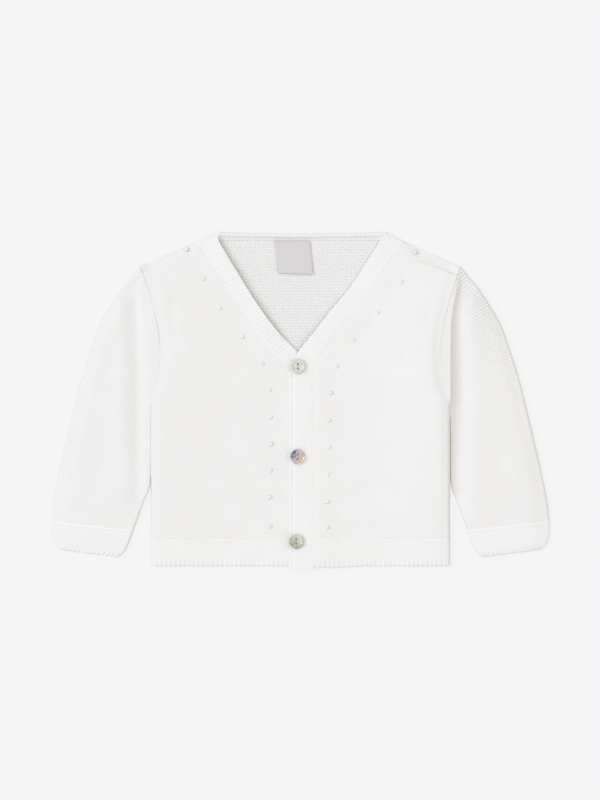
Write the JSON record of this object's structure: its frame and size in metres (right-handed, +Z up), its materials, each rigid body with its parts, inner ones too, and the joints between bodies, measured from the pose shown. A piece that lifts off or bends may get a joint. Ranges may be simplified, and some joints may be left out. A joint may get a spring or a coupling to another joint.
{
  "type": "baby cardigan",
  "caption": "Baby's V-neck knitted cardigan with raised knots, ribbed edges and a buttoned front, laid flat on its back.",
  "frame": {"origin": "under the middle of the garment, on the surface that it lies on", "axes": "+X to the wearer's left, across both sleeves; +Y from the hem to the neck; +Z up off the surface"},
  "size_m": [0.3746, 0.2546, 0.0092],
  "materials": {
    "knit_body": "fine matt garter knit in white cotton",
    "knit_rib": "close matt ribbed knit in white cotton",
    "satin_label": "soft satin ribbon, bare",
    "shell_button": "polished mother-of-pearl with a darker rim"
  },
  "bodies": {
    "root": {"back": "knit_body", "hem_back": "knit_rib", "neckband_back": "knit_rib", "label": "satin_label", "front_right": "knit_body", "hem_front_right": "knit_rib", "sleeve_right": "knit_body", "cuff_right": "knit_rib", "band_right": "knit_rib", "front_left": "knit_body", "hem_front_left": "knit_rib", "sleeve_left": "knit_body", "cuff_left": "knit_rib", "band_left": "knit_rib", "button_1": "shell_button", "button_2": "shell_button", "button_3": "shell_button"}
  },
  "joints": []
}
